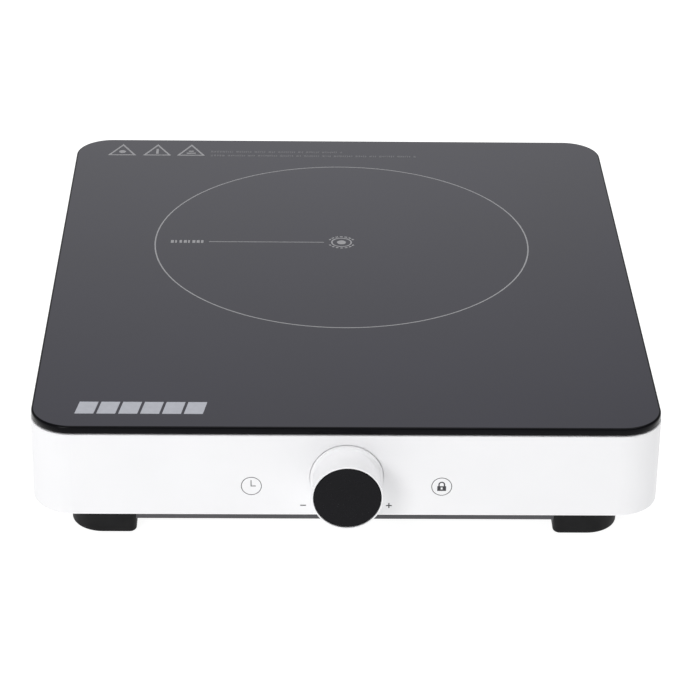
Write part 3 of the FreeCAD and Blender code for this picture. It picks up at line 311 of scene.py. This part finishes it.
def zone_marks():
    """The ring round the heated zone, its centre mark, and the line of print that runs to the centre."""
    zone_v = ZONE_Y - GLASS_Y
    ring_r, ring_line = 99.7, 0.7
    zone = ring(0.1, zone_v - 0.2, ring_r, ring_line, 320)
    printed("zone_ring", [zone], on_glass, light_ink, "black_glass")

    dot_r, inner_r, dash_r = 2.4, 5.2, 7.0
    centre = [disc(0, zone_v, dot_r), ring(0, zone_v, inner_r, 0.75)]
    for start in (30, 210):
        for i in range(7):
            a = start + 20 * i
            centre.append(arc(0, zone_v, dash_r, a - 6, a + 6, 1.0, 3))
    printed("zone_centre", centre, on_glass, light_ink, "black_glass")

    line_left, line_right, block_left, block_pitch = -70.9, -9.4, -91.3, 2.3
    line = [bar(line_left, line_right, zone_v - 0.3, zone_v + 0.3)]
    for i, width in enumerate((1.6, 0.9, 1.3, 1.6, 0.9, 1.6, 1.6, 1.3)):
        x = block_left + block_pitch * i
        line.append(bar(x, x + width, zone_v - 1.6, zone_v + 1.7))
    printed("zone_line", line, on_glass, light_ink, "black_glass")


def corner_signs():
    """Three triangles at the back left corner, with a dot, a stroke and two short bars inside."""
    left, middle, right = -124.0, -104.0, -84.6
    low, high, half = 147.8, 162.0, 7.2
    signs = []
    for x in (left, middle, right):
        signs.append(stroke([(x - half, low), (x + half, low), (x, high)], 1.1, True))
        if x == left:
            signs.append(disc(x, 152.4, 2.0))
        elif x == middle:
            signs.append(bar(x - 0.7, x + 0.7, 149.6, 156.5))
        else:
            signs.append(bar(x - 2.6, x + 2.6, 150.0, 151.4))
            signs.append(bar(x - 1.4, x + 1.4, 152.8, 154.2))
    printed("corner_signs", signs, on_glass, light_ink, "black_glass")


def fine_print():
    """Two rows of ticks in groups, where the small print stands: (right end, height, ticks in each group)."""
    left, half, gap, group_gap = -73.3, 1.1, 0.45, 1.3
    rows = ((2.6, 153.0, (9, 7, 5, 3, 8, 2, 6, 7, 4, 3)),
            (45.1, 147.6, (5, 8, 3, 9, 6, 2, 7, 4, 8, 5, 3, 7, 6, 9)))
    ticks = []
    for end, v, groups in rows:
        u, k = left, 0
        while u < end - 1.0:
            for _ in range(groups[k % len(groups)]):
                if u > end - 1.0:
                    break
                width = 0.75 + 0.35 * ((k + int(u * 10)) % 3)
                ticks.append(bar(u, u + width, v - half, v + half))
                u += width + gap
            u += group_gap
            k += 1
    printed("fine_print", ticks, on_glass, faint_ink, "black_glass")


def front_mark():
    """A row of leaning blocks at the front left corner."""
    left, right, low, high, count, gap, lean = -129.0, -66.5, -157.0, -145.4, 6, 1.4, 1.8
    width = (right - left - lean - gap * (count - 1)) / count
    blocks = []
    for i in range(count):
        x = left + i * (width + gap)
        blocks.append(([(x, low), (x + width, low)], [(x + lean, high), (x + width + lean, high)], False))
    printed("front_mark", blocks, on_glass, bright_ink, "black_glass")


KEY_X, KEY_Z, KEY_R, KEY_LINE = 45.2, 36.5, 4.75, 0.34     # the two touch keys, either side of the dial
SIGN_Z, SIGN_HALF, SIGN_ARM = 25.95, 0.28, 1.4             # the minus and the plus, below the dial


def timer_sign():
    """A clock face in the left key."""
    hands = [(-KEY_X - 0.15, KEY_Z + 3.2), (-KEY_X - 0.15, KEY_Z), (-KEY_X + 2.1, KEY_Z)]
    clock = [ring(-KEY_X, KEY_Z, KEY_R, KEY_LINE), stroke(hands, 0.42)]
    printed("timer_sign", clock, on_panel, panel_ink, "white_shell")


def lock_sign():
    """A padlock in the right key: a body with a square keyhole, and a bowed shackle."""
    low, mid, key = KEY_Z - 2.35, KEY_Z + 0.25, KEY_Z - 1.0
    half, slot, hole = 2.1, 0.45, 0.55
    lock = [ring(KEY_X, KEY_Z, KEY_R, KEY_LINE)]
    lock += [bar(KEY_X - half, KEY_X - slot, low, mid),
             bar(KEY_X + slot, KEY_X + half, low, mid),
             bar(KEY_X - slot, KEY_X + slot, low, key - hole),
             bar(KEY_X - slot, KEY_X + slot, key + hole, mid)]
    bow_r, bow_z = 1.3, KEY_Z + 1.1
    shackle = [(KEY_X - bow_r, mid), (KEY_X - bow_r, bow_z)]
    shackle += [(KEY_X - bow_r * math.cos(math.radians(a)), bow_z + bow_r * math.sin(math.radians(a)))
                for a in range(15, 180, 15)]
    shackle += [(KEY_X + bow_r, bow_z), (KEY_X + bow_r, mid)]
    lock.append(stroke(shackle, 0.62))
    printed("lock_sign", lock, on_panel, panel_ink, "white_shell")


def dial_signs():
    """The minus at the dial's left and the plus at its right."""
    minus_x, plus_x = -20.6, 20.3
    minus = [bar(minus_x - SIGN_ARM, minus_x + SIGN_ARM, SIGN_Z - SIGN_HALF, SIGN_Z + SIGN_HALF)]
    printed("minus_sign", minus, on_panel, panel_ink, "white_shell")
    plus = [bar(plus_x - SIGN_ARM, plus_x + SIGN_ARM, SIGN_Z - SIGN_HALF, SIGN_Z + SIGN_HALF)]
    plus += [bar(plus_x - SIGN_HALF, plus_x + SIGN_HALF, SIGN_Z + side * SIGN_HALF, SIGN_Z + side * SIGN_ARM)
             for side in (-1, 1)]
    printed("plus_sign", plus, on_panel, panel_ink, "white_shell")


glass_plate()
zone_marks()
corner_signs()
fine_print()
front_mark()
timer_sign()
lock_sign()
dial_signs()


# ---------------------------------------------------------------- camera
CAMERA = Vector((-26.12, -1271.89, 691.35)) * MM
AZIMUTH, ELEVATION, ROLL = -1.381, 27.705, 0.912       # degrees
LENS, SENSOR = 139.21, 36.0


def camera():
    """A camera aimed by azimuth and elevation round the object, then rolled about its own axis."""
    a, e, r = (math.radians(v) for v in (AZIMUTH, ELEVATION, ROLL))
    back = Vector((math.sin(a) * math.cos(e), -math.cos(a) * math.cos(e), math.sin(e)))
    level = Vector((0, 0, 1)).cross(back).normalized()
    upright = back.cross(level)
    right = level * math.cos(r) + upright * math.sin(r)
    up = upright * math.cos(r) - level * math.sin(r)
    data = bpy.data.cameras.new("camera")
    data.lens, data.sensor_width = LENS, SENSOR
    data.clip_start, data.clip_end = 0.05, 100.0
    obj = bpy.data.objects.new("camera", data)
    bpy.context.scene.collection.objects.link(obj)
    turn = Matrix((right, up, back)).transposed().to_4x4()
    obj.matrix_world = Matrix.Translation(CAMERA) @ turn
    bpy.context.scene.camera = obj


camera()


# ---------------------------------------------------------------- floor and light
def floor():
    """A wide pale sheet with a glow of its own, so that the ground around the object goes to white."""
    half = 12.0
    verts = [(-half, -half, 0.0), (half, -half, 0.0), (half, half, 0.0), (-half, half, 0.0)]
    mesh = bpy.data.meshes.new("floor")
    mesh.from_pydata(verts, [], [(0, 1, 2, 3)])
    obj = bpy.data.objects.new("floor", mesh)
    bpy.context.scene.collection.objects.link(obj)
    pale = surface("pale_floor", (0.3, 0.3, 0.3), (0.85, 0.95), tint=0.004, patch=0.4, lift=0)
    shader = next(n for n in pale.node_tree.nodes if n.type == "BSDF_PRINCIPLED")
    shader.inputs["Emission Color"].default_value = (1, 1, 1, 1)
    shader.inputs["Emission Strength"].default_value = 0.93
    shader.inputs["Specular IOR Level"].default_value = 0.0
    mesh.materials.append(pale)


def softbox(name, place, aim, size, power):
    """A square light, in metres and watts, turned to face its aim."""
    data = bpy.data.lights.new(name, "AREA")
    data.shape, data.size, data.energy = "SQUARE", size, power
    obj = bpy.data.objects.new(name, data)
    bpy.context.scene.collection.objects.link(obj)
    obj.location = place
    obj.rotation_mode = "QUATERNION"
    obj.rotation_quaternion = (Vector(place) - Vector(aim)).to_track_quat("Z", "Y")


def sky():
    """A plain pale room with a broad glow behind the table, and more light on the left than on the right."""
    world = bpy.data.worlds.new("studio")
    bpy.context.scene.world = world
    world.use_nodes = True
    tree = world.node_tree
    background = tree.nodes["Background"]
    coords = tree.nodes.new("ShaderNodeTexCoord")

    def facing(direction):
        node = tree.nodes.new("ShaderNodeVectorMath")
        node.operation = "DOT_PRODUCT"
        node.inputs[1].default_value = direction
        tree.links.new(coords.outputs["Generated"], node.inputs[0])
        return node.outputs["Value"]

    def maths(operation, a, b):
        node = tree.nodes.new("ShaderNodeMath")
        node.operation = operation
        for socket, value in zip(node.inputs, (a, b)):
            if isinstance(value, float):
                socket.default_value = value
            else:
                tree.links.new(value, socket)
        return node.outputs["Value"]

    glow_way, glow_power, glow_strength = (0.0, 0.951, 0.309), 20.0, 0.52
    drift, base_strength = (-0.10, 0.0, 0.05), 0.41
    glow = maths("POWER", maths("MAXIMUM", facing(glow_way), 0.0), glow_power)
    level = maths("ADD", facing(drift), base_strength)
    strength = maths("ADD", maths("MULTIPLY", glow, glow_strength), level)
    tree.links.new(strength, background.inputs["Strength"])
    background.inputs["Color"].default_value = (0.985, 0.985, 1.0, 1)


floor()
sky()
softbox("key", place=(-0.85, -1.6, 0.82), aim=(0, -0.1, 0.04), size=0.6, power=10.4)
softbox("overhead", place=(0.35, 0.0, 2.2), aim=(0, 0, 0), size=2.0, power=29.0)
bpy.context.scene.view_settings.view_transform = "Standard"
